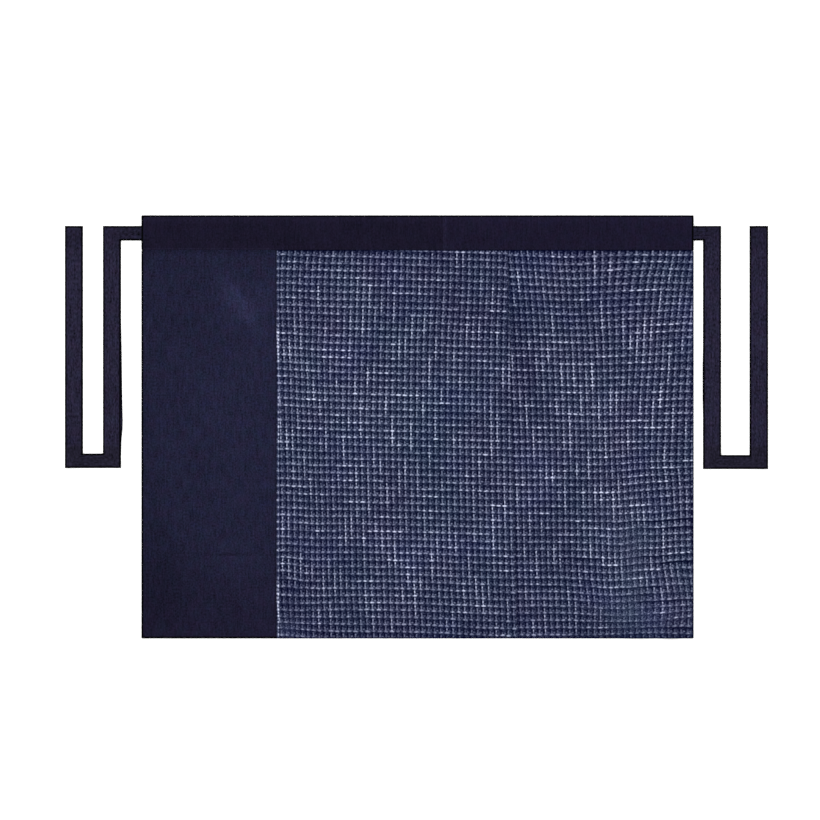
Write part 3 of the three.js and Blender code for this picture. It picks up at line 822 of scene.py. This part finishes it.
def check_finish():
    """Slubbed check: in each cell of the weave one pale bar, one stem rising from it and one
    fainter dot between the stems, on dark navy. Here and there a thick pale yarn shows for a
    few cells, along a row as bright bars or up a column as a string of beads."""
    finish = Finish("check_cloth", Specular_IOR_Level=0.02, Sheen_Weight=0.01, Sheen_Roughness=0.5)
    x, y = finish.place()
    edge, past_seam = finish.uv("edge")
    weft_mark, warp_mark = finish.uv("slubs")
    u, v = finish.uv("threads")
    u = u + 0.050 * finish.cloud(u * 0.9, v * 2.3, seed=11.0)
    v = v + 0.045 * finish.cloud(u * 2.1, v * 0.8, seed=12.0)

    # The cell, its lots, and the thick yarns that pass through it
    column, row = (u + 0.5).floor(), (v + 0.5).floor()
    stem_row, dot_column = (v + 0.12).floor(), u.floor()
    from_stem, from_bar, up_stem = u - column, v - row, v - stem_row
    from_dot = u - dot_column - 0.37
    weft_run = finish.cloud(u * 0.20, row * 7.31, detail=1.0, roughness=0.6, seed=21.0)
    warp_run = finish.cloud(column * 6.17, v * 0.24, detail=1.0, roughness=0.6, seed=22.0)
    weft_slub = (0.30 * weft_run.step(0.15, 0.58)).most(weft_mark)
    warp_slub = (0.30 * warp_run.step(0.15, 0.56)).most(warp_mark)
    beads = 0.56 + 0.44 * (v * (4 * math.pi) + math.pi / 2).wave()
    bar_luck = finish.lot(column, row, 31.0) - 0.5
    stem_luck = finish.lot(column, stem_row, 32.0) - 0.5
    dot_luck = finish.lot(dot_column, row, 33.0) - 0.5
    slip = 0.06 * (finish.lot(column, row, 34.0) - 0.5)

    # Where the bar, the stem, the dot and the darker and lighter ground lie in the cell
    bar_height = from_bar + 0.045 + slip
    wide = from_stem.size() + 0.03 * weft_slub - 0.18 * bar_luck
    bar = wide.step(0.49, 0.07) * bar_height.within(0.12 - 0.025 * weft_slub, 0.15)
    weft_line = bar_height.within(0.09, 0.14)
    tall = up_stem - 0.26 * warp_slub - 0.16 * stem_luck
    stem = (from_stem + 0.03).within(0.12 - 0.03 * warp_slub, 0.13)
    stem = stem * up_stem.step(-0.04, 0.06) * tall.step(0.64, 0.46)
    dot = from_dot.within(0.17, 0.24) * (up_stem - 0.22).within(0.11, 0.18)
    heel = (from_stem - 0.16).within(0.20, 0.20) * (up_stem - 0.68).within(0.09, 0.14)
    groove = (from_stem + 0.28).within(0.10, 0.14) * (up_stem - 0.50).within(0.28, 0.20)
    # Painted shade: a dark line under a charted row that lies in a fold
    fold_line_shade = (weft_mark * -1).most(0.0) * (from_bar + 0.31).within(0.10, 0.12)

    # How light each of them is, and the cell laid together
    bar_level = 0.53 + 0.12 * weft_run + 0.12 * bar_luck + 0.31 * weft_slub + 0.13 * warp_slub
    stem_level = 0.385 + 0.10 * warp_run + 0.12 * stem_luck + 0.46 * warp_slub * beads
    dot_level = 0.235 + 0.16 * dot_luck + 0.06 * weft_run
    ground = 0.125 + 0.09 * heel - 0.090 * groove + (0.07 + 0.05 * weft_slub) * weft_line
    level = ground.most(0.03) + dot * dot_level
    level = between(level, stem_level, stem)
    level = between(level, bar_level, bar)
    yarn = finish.cloud(u * 4.6, v * 5.2, detail=1.0, roughness=0.6, seed=44.0)
    broad = finish.cloud(u * 0.10, v * 0.09, detail=1.0, seed=42.0)
    level = level * (1.0 + 0.18 * yarn + 0.16 * broad) + 0.18 * yarn
    level = level * (1.0 - 0.8 * fold_line_shade)
    # Patches where the pattern gives way to an even tone a little paler than its mean
    even_patch = finish.patches(x, y, CHECK_EVEN_PATCHES)
    even_patch = even_patch * (0.9 + 0.6 * finish.cloud(x * 30, y * 40, seed=45.0))
    level = between(level, 0.285 + 0.30 * yarn, even_patch.most(0.0).least(0.75))

    # The thick yarn that lies along the lap over the plain panel
    lap_yarn = (x - (PLAIN_EDGE + 3 * MM)).within(1.5 * MM, 1.7 * MM)
    lap_run = finish.cloud(0.0, v * 0.16, detail=1.0, seed=23.0).step(0.0, 0.6)
    lap_bead = (from_bar + 0.045).within(0.17, 0.20)
    lap_level = 0.27 + 0.36 * lap_bead + 0.36 * lap_run * beads + 0.20 * yarn
    lap_level = lap_level * (1.0 - 0.28 * y.step(200 * MM, 240 * MM)) + 0.45 * warp_mark * beads
    level = level.most(lap_level * lap_yarn)

    # The seam between the widths: painted shade in a groove, and in its upper part a loose yarn,
    # painted shade along a fold and painted shade beside the seam
    high = y.step(60 * MM, 110 * MM)
    loose_yarn = (past_seam + 2 * MM).within(0.5 * MM, 1.4 * MM)
    loose_yarn = loose_yarn * high * y.step(260 * MM, 220 * MM)
    level = level.most((0.30 + 0.15 * yarn) * loose_yarn)
    seam_groove_shade = (past_seam - 2.4 * MM).within(0.8 * MM, 1.6 * MM)
    seam_fold_shade = (past_seam + 6 * MM).within(0.4 * MM, 1.4 * MM) * high
    seam_shade = past_seam.step(-0.5 * MM, 1 * MM) * past_seam.step(24 * MM, 10 * MM) * high
    level = level * (1.0 - 0.34 * seam_groove_shade - 0.22 * seam_fold_shade) * (1.0 - 0.07 * seam_shade)

    # A painted highlight along a short crease, and painted shade at the open edges and under the
    # waistband
    crease_across, crease_along = turned(x, y, CREASE_HIGHLIGHT_CENTRE, CREASE_HIGHLIGHT_TURN)
    crease_highlight = crease_across.within(0.5 * MM, 1.4 * MM) * crease_along.within(14 * MM, 8 * MM)
    level = level.most((0.42 + 0.2 * yarn) * crease_highlight)
    rim = edge.step(0.8 * MM, 3 * MM)
    foot = y.step(HEM + 70 * MM, HEM + 14 * MM)
    under_band = y.step(BAND_FOOT - 0.8 * MM, BAND_FOOT - 2.9 * MM)
    level = level * (1.0 + finish.patches(x, y, CHECK_TONE_AND_SHADE))
    level = level * (0.20 + 0.80 * rim) * (0.34 + 0.66 * under_band) * (1.0 - 0.08 * foot)

    steps = (0.035, 0.12, 0.255, 0.40, 0.61, 0.90)
    teal, purple, bluer = (
        finish.ramp(level, [(s, dye(255 * s + r, 255 * s + g, 255 * s + b)) for s in steps])
        for r, g, b in ((-9, 2, 27), (-2, -2, 27), (-6, 0, 35))
    )
    turn = finish.cloud(u * 0.13, v * 0.11, detail=3.0, seed=43.0)
    cast = finish.cloud(u * 0.12, v * 0.14, detail=3.0, seed=46.0)
    green = finish.patches(x, y, CHECK_TINTS)
    colour = finish.casts(turn * 0.7 + 0.5 + green, cast * 1.1, teal, purple, bluer)
    finish.feed("Base Color", colour)
    finish.raise_by(level, 0.35 * MM, 0.5)
    finish.feed("Roughness", 0.94 - 0.10 * level)
    return finish


def thread_finish():
    finish = Finish("navy_thread", Specular_IOR_Level=0.2, Roughness=0.7)
    x, y = finish.place()
    twist = finish.cloud(x * 900, y * 900, detail=1.0)
    colour = finish.blend(0.5 + 0.3 * twist, dye(26, 25, 42), dye(34, 33, 54))
    finish.feed("Base Color", colour)
    return finish


# ---- Panels ----

def check_maps(weave, starts, ends):
    """The maps of one check width: its threads, and how pale each point's row and column are
    by the charted yarns that lie between two columns of the chart."""
    marks = {}

    def near(gap):
        return min(max((MARK["reach"] - abs(gap)) / MARK["fade"], 0.0), 1.0)

    def threads(cloth, point, _face=None):
        x, y = cloth.flat[point]
        return thread_drift(x / MM, y / MM, weave)

    def charted(axis, at, line):
        """Where a square of the chart lies among the threads."""
        right, down = (line, at) if axis else (at, line)
        x = CHART_CORNER[0] + CHART_SQUARE * right
        y = CHART_CORNER[1] - CHART_SQUARE * down
        return thread_drift(x, y, weave)

    def mark_yarns(chart, axis, places):
        lines = {}
        for point, place in places.items():
            lines.setdefault(round(place[1 - axis]), []).append(point)
        for pale, yarns in chart.items():
            for low, count, line in yarns:
                high = low + count
                middle = (low + high) / 2
                if not starts <= (middle, line)[axis] < ends:
                    continue
                first, last = sorted(charted(axis, at, line)[axis] for at in (low, high))
                thread = round(charted(axis, middle, line)[1 - axis])
                for close in (thread - 1, thread, thread + 1):
                    for point in lines.get(close, ()):
                        at, beside = places[point][axis], places[point][1 - axis]
                        past = max(first - at, at - last, -MARK["end"]) + MARK["end"]
                        share = pale / 10 * near(beside - thread) * near(past)
                        marks[point][axis] = max(marks[point][axis], share, key=abs)

    def slubs(cloth, point, _face):
        if not marks:
            places = {p: threads(cloth, p) for p in cloth.flat}
            marks.update((p, [0.0, 0.0]) for p in places)
            mark_yarns(WEFT_SLUBS, 0, places)
            mark_yarns(WARP_SLUBS, 1, places)
        return marks[point]

    return {"threads": threads, "slubs": slubs}


def panel(name, left, right, left_kind, right_kind, finish, maps):
    """One panel laid flat. Its side edges are kinds: hem, turned under at the skirt's open
    side; lap, folded and lying on its neighbour; or margin, passing under its neighbour."""
    foot = HEM + FOLD_RADIUS

    def start(y):
        return left(y) + EDGE_INSET[left_kind]

    def end(y):
        return right(y) - EDGE_INSET[right_kind]

    def doubled(x, y):
        """How much the turnings beside the edges lift the cloth, by shares of a layer."""
        shares = [strip(y - HEM, HEM_DEPTH)]
        for kind, gap in ((left_kind, x - left(y)), (right_kind, right(y) - x)):
            if kind == "margin":
                shares = [share * ease(gap / (1.5 * MM) + 0.5) for share in shares]
            else:
                shares.append(strip(gap, SIDE_HEM if kind == "hem" else SEAM_LAP))
        return max(shares) * (1 - in_band(y))

    def surface(x, y):
        return bed_height(x, y) + LAYER * doubled(x, y)

    def under(x, y):
        return max(surface(x, y) - LAYER, CLOTH / 2)

    def spot(across, along):
        y = between(foot, PANEL_TOP, along)
        tuck = TOP_TUCK * ease((y - BAND_FOOT + 3 * MM) / (2 * MM))
        from_x = start(y) + (tuck if left_kind == "hem" else 0.0)
        to_x = end(y) - (tuck if right_kind == "hem" else 0.0)
        x = between(from_x, to_x, across)
        return (x, y, surface(x, y)), (x, y)

    def hem_room(place):
        gaps = [1.0]
        if left_kind == "hem":
            gaps.append((place.x - left(HEM)) / HEM_DEPTH)
        if right_kind == "hem":
            gaps.append((right(HEM) - place.x) / HEM_DEPTH)
        return max(min(gaps), 0.05)

    def side_room(place):
        above_hem = (place.y - HEM) / HEM_DEPTH - 0.9
        below_band = (BAND_FOOT - place.y) / HEM_DEPTH
        return max(min(1.0, above_hem, below_band), 0.02)

    def edges_of(c, point, _face):
        """How far a point lies in from the skirt's open edges, and past the check's seam."""
        x, y = c.flat[point]
        inside = min(x - SKIRT_LEFT, SKIRT_RIGHT - x, y - HEM)
        return (max(inside, 0.0), x - check_join(y))

    columns = round((end(HEM) - start(HEM)) / MESH_COLUMN)
    cloth = Cloth(columns, round((PANEL_TOP - foot) / MESH_ROW))
    cloth.lay(spot)
    turnings = [(cloth.edge(1, 0.0), Vector((0, -1)), HEM_DEPTH, hem_room)]
    for kind, share, outward in ((left_kind, 0.0, -1), (right_kind, 1.0, 1)):
        if kind != "margin":
            depth = SIDE_HEM if kind == "hem" else LAP_TURNING
            turnings.append((cloth.edge(0, share), Vector((outward, 0)), depth, side_room))
    for turning in turnings:
        cloth.turn_under(*turning, under)
    return cloth.piece(name, finish, {**maps, "edge": edges_of}, CLOTH)


# ---- Waistband ----

FRONT_RUNS = 13
CROWN_STEPS = 10
BACK_RUNS = 6
BAND_STATION = 5 * MM
END_INSET = 1.2 * MM
# How the band's ends are drawn together: a reach in mm and a share of the height, twice
SEWN_SHUT = ((0.7, 0.80), (0.35, 0.35))
JOINED = ((0.55, 0.93), (0.35, 0.75))


def band_path():
    """The folded waistband's section from its tucked front edge, over the waist, to its back
    edge, as (distance along the cloth, y, z)."""
    front = BAND_HEIGHT - CLOTH / 2
    back = CLOTH / 2
    fold = (front - back) / 2
    foot = BAND_FOOT + FOLD_RADIUS + CLOTH / 2
    crown = WAIST - CLOTH / 2 - fold
    corners = [(BAND_FOOT + 9 * MM, front - LAYER), (foot + 1 * MM, front - LAYER)]
    for step in range(FOLD_STEPS + 1):
        turn = math.pi * step / FOLD_STEPS
        corners.append((
            foot - FOLD_RADIUS * math.sin(turn),
            front - FOLD_RADIUS - FOLD_RADIUS * math.cos(turn),
        ))
    for step in range(1, FRONT_RUNS + 1):
        corners.append((between(foot, crown, step / FRONT_RUNS), front))
    for step in range(1, CROWN_STEPS + 1):
        turn = math.pi * step / CROWN_STEPS
        corners.append((crown + fold * math.sin(turn), back + fold + fold * math.cos(turn)))
    for step in range(1, BACK_RUNS + 1):
        corners.append((between(crown, foot, step / BACK_RUNS), back))
    corners.append((BAND_FOOT + CLOTH / 2, back + 0.1 * MM))
    return measured(corners)


def waistband(name, from_x, to_x, shut_share, finish):
    """One length of the waistband, its outer end sewn shut and its inner end at the join."""
    path = band_path()
    cloth = Cloth(round((to_x - from_x) / BAND_STATION), len(path) - 1)
    crest = BAND_HEIGHT / 2

    def spot(across, along):
        run, y, z = path[round(along * (len(path) - 1))]
        x = between(from_x + END_INSET, to_x - END_INSET, across)
        if z > crest:
            foot = 1 - ease((y - BAND_FOOT) / (16 * MM))
            swell = noise.noise(Vector((x / (45 * MM), y / (30 * MM), 4.2)))
            pucker = noise.noise(Vector((x / (12 * MM), 1.3, 8.8)))
            z += 0.10 * MM * (swell + foot * pucker) - 0.08 * MM
        return (x, y, z), (x, run)

    def rim(c, point, _face):
        x = c.flat[point][0]
        return (max(min(x - SKIRT_LEFT, SKIRT_RIGHT - x, WAIST - point.co.y), 0.0), 0.0)

    cloth.lay(spot)
    for share, outward in ((0.0, Vector((-1, 0))), (1.0, Vector((1, 0)))):
        edges = cloth.edge(0, share)
        for reach, squeeze in SEWN_SHUT if share == shut_share else JOINED:
            edges, points = cloth.carry(edges, outward, (reach * MM, 0.0), reach * MM)
            for point in points:
                point.co.z = crest + (point.co.z - crest) * squeeze
    return cloth.piece(name, finish, {"cloth": flat_place, "edge": rim}, CLOTH)


# ---- Ties ----

def tie_crossings(tie):
    """Crossings of the strip from the waistband to its free end, in mm: the edge that faces
    the skirt, the other edge, the height of the underside, the thickness and the peek."""
    out = 1 if tie["outer"] > tie["end"] else -1
    inner, outer = tie["inner"], tie["outer"]
    far_inner, far_outer = tie["far_inner"], tie["far_outer"]
    top, foot = TIE_TOP, TIE_ROOT_FOOT
    bar_top, bar_foot = tie["bar_top"], tie["bar_foot"]
    rows = []

    def add(near, far, lift=0.0, wall=TIE_WALL, peek=TIE_PEEK):
        rows.append((*near, *far, lift, wall, peek))

    def crease(near, far, heading):
        add(near, far, wall=TIE_FOLDED)
        add(*((x + heading[0] * CREASE_RUN, y + heading[1] * CREASE_RUN) for x, y in (near, far)))

    for reach, lift, wall in (
        (-TIE_ROOT, TIE_ROOT_LIFT, TIE_ROOT_WALL),
        (0.5, TIE_ROOT_LIFT, TIE_ROOT_WALL),
        (TIE_RISE_RUN, 0.0, TIE_WALL),
    ):
        x = tie["end"] + out * reach
        add((x, foot), (x, top), lift, wall)
    crease((inner, foot), (outer, top), (0, -1))
    for y, peek in tie["slack"]:
        add((inner, y), (outer, y), peek=peek)
    add((inner, bar_foot + BAR_LEAD), (outer, bar_top + BAR_LEAD))
    crease((inner, bar_foot), (outer, bar_top), (out, 0))
    add((far_inner - out, bar_foot), (far_inner - out, bar_top))
    crease((far_outer, bar_foot), (far_inner, bar_top), (0, 1))
    add((far_outer, top), (far_inner, top))
    return rows


def tie_section(width, wall, peek):
    """The folded strip's section in mm, from its under layer's edge, round the fold, to its
    upper layer's edge: (distance along the cloth, distance from the near edge, height)."""
    thick = TIE_CLOTH / MM
    low, high = thick / 2, wall - thick / 2
    fold = (high - low) / 2
    turn_at = width - thick / 2 - fold
    corners = [(-peek + thick / 2, low)]
    corners += [(width * share, low) for share in (0.04, 0.35, 0.65)]
    for step in range(7):
        turn = math.pi * step / 6
        corners.append((turn_at + fold * math.sin(turn), low + fold - fold * math.cos(turn)))
    for share in (0.86, 0.72, 0.58, 0.44, 0.30, 0.16):
        corners.append((width * share, high + TIE_CROWN * math.sin(math.pi * share)))
    corners += [(1.6, high), (0.8, high - 0.08), (0.35, high - 0.28), (0.2, low + thick)]
    return measured(corners)


def tie_piece(name, tie, finish):
    """One tie laid along its crossings."""
    rows = tie_crossings(tie)
    stations = []
    for a, b in zip(rows, rows[1:]):
        steps = max(1, round(math.dist(a[:2], b[:2]) * MM / TIE_STATION))
        stations += [[between(p, q, i / steps) for p, q in zip(a, b)] for i in range(steps)]
    stations.append(rows[-1])
    middles = [((row[0] + row[2]) / 2, (row[1] + row[3]) / 2) for row in stations]
    runs = [run for run, _, _ in measured(middles)]
    last_corner = len(tie_section(30, TIE_WALL, TIE_PEEK)) - 1
    last_station = len(stations) - 1
    level_runs = {
        index for index, (a, b) in enumerate(zip(stations, stations[1:]))
        if abs(b[0] - a[0]) > abs(b[1] - a[1])
    }
    shares = {}

    def spot(across, along):
        corner, index = round(across * last_corner), round(along * last_station)
        near_x, near_y, far_x, far_y, lift, wall, peek = stations[index]
        width = math.dist((near_x, near_y), (far_x, far_y))
        run, inset, height = tie_section(width, wall, peek)[corner]
        share = shares[corner, index] = inset / width
        x = between(near_x, far_x, share)
        y = between(near_y, far_y, share)
        if height > wall / 2 and index >= ROOT_STATIONS:
            height += 0.10 * noise.noise(Vector((x / 31, y / 37, 5.5)))
        return (x * MM, y * MM, (lift + height) * MM), (run * MM, runs[index] * MM)

    def grain(c, point, face):
        """The grain follows each run of the strip, and turns with it at the corners."""
        index = round(min(c.share[v][1] for v in face.verts) * last_station)
        place = (point.co.x, point.co.y)
        return place[::-1] if index in level_runs else place

    def rim(c, point, _face):
        """How far a point lies in from the strip's edges, and how far its under layer shows."""
        across, along = c.share[point]
        corner, index = round(across * last_corner), round(along * last_station)
        near_x, near_y, far_x, far_y, _, _, peek = stations[index]
        width = math.dist((near_x, near_y), (far_x, far_y))
        share = shares[corner, index]
        if corner < UNDER_CORNERS:
            slipped = min(max((peek - TIE_PEEK) / 2, 0.0), 1.0)
            return ((share * width + peek) * MM, slipped if across == 0 else 0.0)
        square = abs(far_x - near_x) if abs(far_x - near_x) > 30 else abs(far_y - near_y)
        inset = min(share, 1 - share) * min(width, square) * MM
        return (max(min(inset, (runs[-1] - runs[index]) * MM), 0.0), 0.0)

    cloth = Cloth(last_corner, last_station)
    cloth.lay(spot)
    return cloth.piece(name, finish, {"cloth": grain, "edge": rim}, TIE_CLOTH)


# ---- Stitches ----

def stitches(name, start, end, length, gap, finish):
    """A row of stitches, each a small rounded bar lying along the row."""
    mesh = bmesh.new()
    run = end - start
    count = int(run.length / (length + gap))
    turn = run.normalized().to_track_quat("X", "Z").to_matrix().to_4x4()
    for index in range(count):
        middle = start + run * ((index + 0.5) / count)
        made = bmesh.ops.create_icosphere(mesh, subdivisions=1, radius=1.0)["verts"]
        bmesh.ops.scale(mesh, verts=made, vec=(length / 2, 0.22 * MM, 0.18 * MM))
        bmesh.ops.transform(mesh, verts=made, matrix=turn)
        bmesh.ops.translate(mesh, verts=made, vec=middle)
    made = shown(name, mesh, finish)
    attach(made, "root")
    return made


# ---- The skirt ----

plain_cotton = plain_finish()
band_cotton = band_finish()
tie_cotton = tie_finish()
check_cloth = check_finish()
thread = thread_finish()

plain = panel(
    "plain_cloth", lambda y: SKIRT_LEFT, lambda y: PLAIN_EDGE, "hem", "margin",
    plain_cotton, {"cloth": flat_place},
)
check_left = panel(
    "check_cloth_left", lambda y: PLAIN_EDGE, check_join, "lap", "lap",
    check_cloth, check_maps(LEFT_WEAVE, 0, CHART_JOIN),
)
check_right = panel(
    "check_cloth_right", check_join, lambda y: SKIRT_RIGHT, "margin", "hem",
    check_cloth, check_maps(RIGHT_WEAVE, CHART_JOIN, math.inf),
)
band_left = waistband("waistband_cloth_left", SKIRT_LEFT, BAND_JOIN, 0.0, band_cotton)
band_right = waistband("waistband_cloth_right", BAND_JOIN, SKIRT_RIGHT, 1.0, band_cotton)
tie_left = tie_piece("tie_cloth_left", TIES["left"], tie_cotton)
tie_right = tie_piece("tie_cloth_right", TIES["right"], tie_cotton)

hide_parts("plain_panel")
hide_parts("check_panel_left")
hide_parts("check_panel_right")
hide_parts("waistband_left")
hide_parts("waistband_right")
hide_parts("tie_left")
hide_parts("tie_right")

stitch_row = BAND_FOOT + 2.2 * MM
band_stitches = stitches(
    "waistband_stitches",
    Vector((SKIRT_LEFT + 3 * MM, stitch_row, BAND_HEIGHT)),
    Vector((SKIRT_RIGHT - 3 * MM, stitch_row, BAND_HEIGHT)),
    2.4 * MM, 0.8 * MM, thread,
)

# ---- Floor, light and camera ----

FLOOR_SIZE = 14.0
VIEW_WIDTH = 1.640
LENS = 85
VIEW_CENTRE = Vector((-0.013, 0.034, 0.0))

floor_mesh = bmesh.new()
bmesh.ops.create_grid(floor_mesh, x_segments=1, y_segments=1, size=FLOOR_SIZE / 2)
bmesh.ops.translate(floor_mesh, verts=floor_mesh.verts, vec=(0, 0, -0.2 * MM))
floor_finish = Finish("pale_floor", Roughness=1.0, Specular_IOR_Level=0.0)
floor_x, floor_y = floor_finish.place()
floor_tone = 0.5 + 0.3 * floor_finish.cloud(floor_x * 2, floor_y * 2)
floor_pales = [(pale, pale, pale, 1.0) for pale in (0.95, 0.97)]
floor_finish.feed("Base Color", floor_finish.blend(floor_tone, *floor_pales))
floor = shown("floor", floor_mesh, floor_finish)

world = bpy.data.worlds.new("studio")
world.use_nodes = True
sky = world.node_tree.nodes["Background"].inputs
sky["Color"].default_value = (1.0, 1.0, 1.0, 1.0)
sky["Strength"].default_value = 1.28
bpy.context.scene.world = world

lamp_data = bpy.data.lights.new("softbox", "AREA")
lamp_data.shape = "RECTANGLE"
lamp_data.size = 4.0
lamp_data.size_y = 3.0
lamp_data.energy = 300
lamp = bpy.data.objects.new("softbox", lamp_data)
lamp.location = (-4.6, 4.0, 5.0)
lamp.rotation_euler = (-Vector(lamp.location)).to_track_quat("-Z", "Y").to_euler()
bpy.context.scene.collection.objects.link(lamp)

camera_data = bpy.data.cameras.new("camera")
camera_data.lens = LENS
half_angle = math.atan(camera_data.sensor_width / 2 / LENS)
camera = bpy.data.objects.new("camera", camera_data)
camera.location = VIEW_CENTRE + Vector((0, 0, VIEW_WIDTH / 2 / math.tan(half_angle)))
bpy.context.scene.collection.objects.link(camera)
bpy.context.scene.camera = camera
bpy.context.scene.view_settings.view_transform = "Standard"
